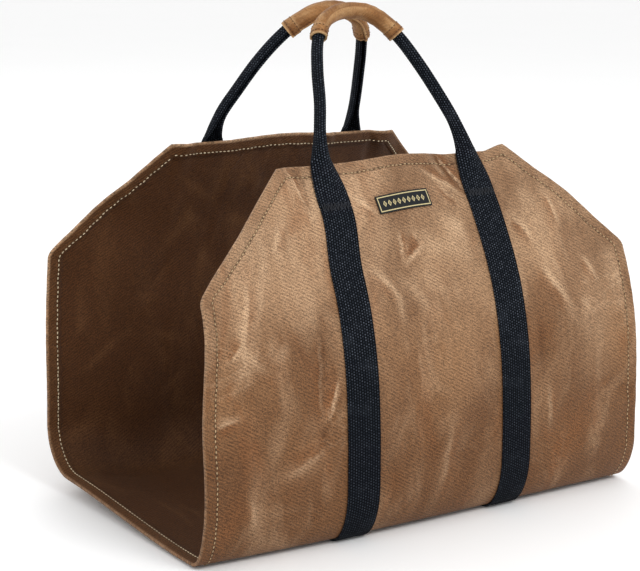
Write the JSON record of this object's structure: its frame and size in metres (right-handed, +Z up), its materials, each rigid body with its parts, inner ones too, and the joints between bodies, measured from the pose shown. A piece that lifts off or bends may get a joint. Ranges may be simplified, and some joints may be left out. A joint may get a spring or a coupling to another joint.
{
  "type": "log carrier",
  "caption": "Open-ended canvas sling for carrying firewood, with webbing straps running under it and up into rolled handles with sewn canvas grips.",
  "frame": {"origin": "middle of the carrier's base, on the floor", "axes": "+X along the carrier's length, as the logs lie in it; the labelled front panel faces -Y; +Z up"},
  "size_m": [0.4574, 0.2902, 0.4362],
  "materials": {
    "waxed_canvas": "waxed cotton canvas in tan brown, worn paler along its folds, darker inside",
    "black_webbing": "matte navy-black woven webbing with small pale specks",
    "woven_label": "black woven label with a plain pale border and no lettering"
  },
  "bodies": {
    "root": {"canvas_body": "waxed_canvas", "left_strap": "black_webbing", "right_strap": "black_webbing", "front_handle": "black_webbing", "back_handle": "black_webbing", "front_grip": "waxed_canvas", "back_grip": "waxed_canvas", "label": "woven_label"}
  },
  "joints": []
}
